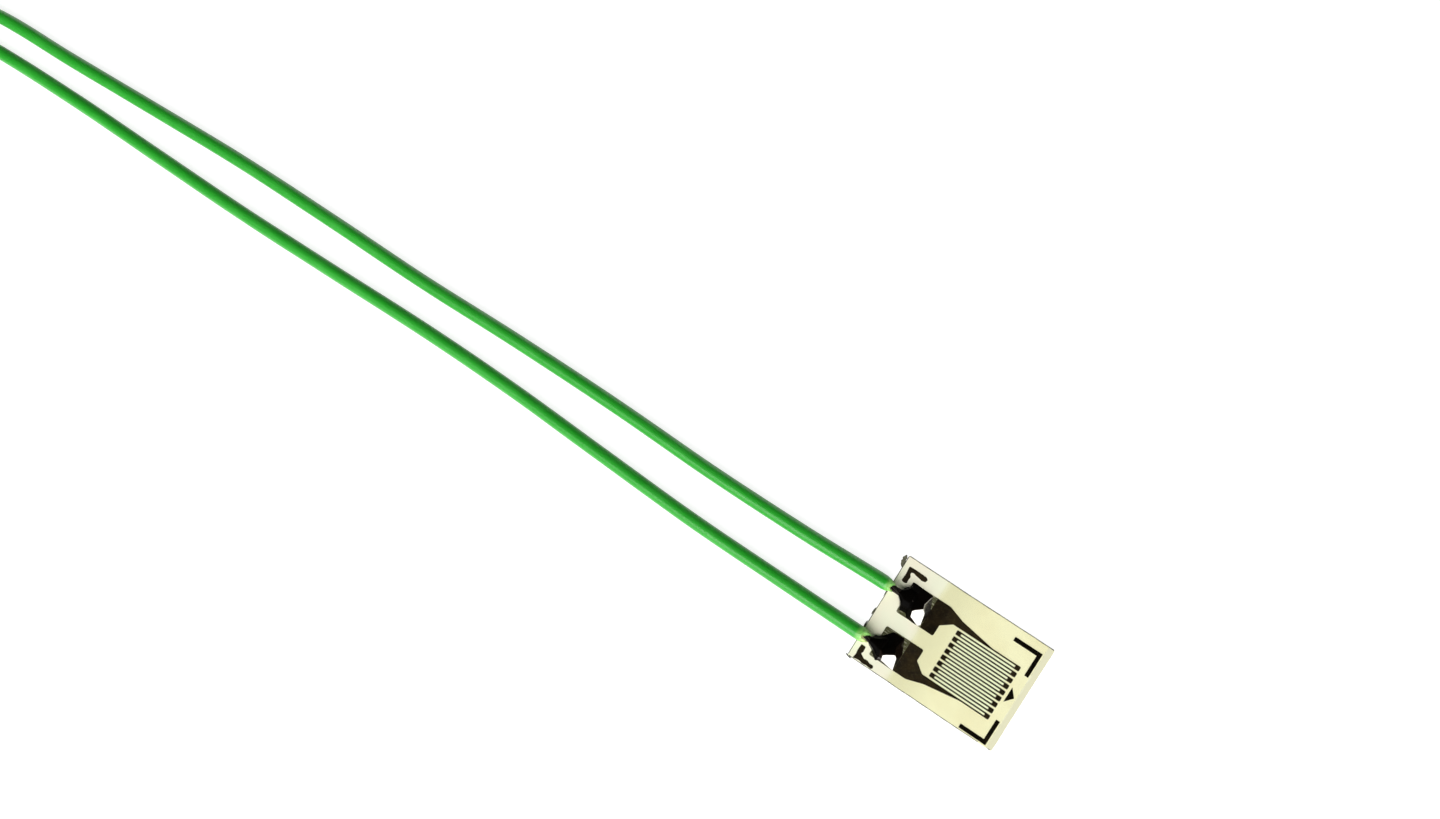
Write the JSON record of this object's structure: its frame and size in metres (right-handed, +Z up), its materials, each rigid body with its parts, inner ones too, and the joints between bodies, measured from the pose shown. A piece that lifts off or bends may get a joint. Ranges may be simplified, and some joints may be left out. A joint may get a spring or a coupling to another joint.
{
  "type": "foil strain gauge",
  "caption": "Foil strain gauge on a cream film carrier with two green insulated leads, folded together into a tied hank.",
  "frame": {"origin": "middle of the carrier film's underside, the face that is bonded down", "axes": "+X along the grid lines, from the leads towards the far end loops; +Y across the grid lines; +Z up, away from the bonded face"},
  "size_m": [0.088, 0.0065, 0.0022],
  "materials": {
    "carrier_polyimide": "cream polyimide film, satin, slightly translucent",
    "cover_polyimide": "yellower cream polyimide film, smooth",
    "constantan_foil": "etched copper-nickel foil, dark, seen through the film",
    "tin_solder": "shiny tin solder",
    "tinned_copper": "tinned copper, dull",
    "green_insulation": "green extruded insulation, slightly translucent",
    "tie_tape": "thin off-white tape"
  },
  "bodies": {
    "root": {"carrier_film": "carrier_polyimide", "cover_film": "cover_polyimide", "measuring_grid": "constantan_foil", "corner_mark_1": "constantan_foil", "corner_mark_2": "constantan_foil", "corner_mark_3": "constantan_foil", "corner_mark_4": "constantan_foil", "end_mark": "constantan_foil", "solder_joint_1": "tin_solder", "solder_joint_2": "tin_solder", "lead_1_core": "tinned_copper", "lead_2_core": "tinned_copper", "lead_1_insulation": "green_insulation", "lead_2_insulation": "green_insulation", "lead_hank": "green_insulation", "hank_tie": "tie_tape", "lead_1_tail": "green_insulation", "lead_2_tail": "green_insulation", "lead_1_tinned_end": "tinned_copper", "lead_2_tinned_end": "tinned_copper"}
  },
  "joints": []
}
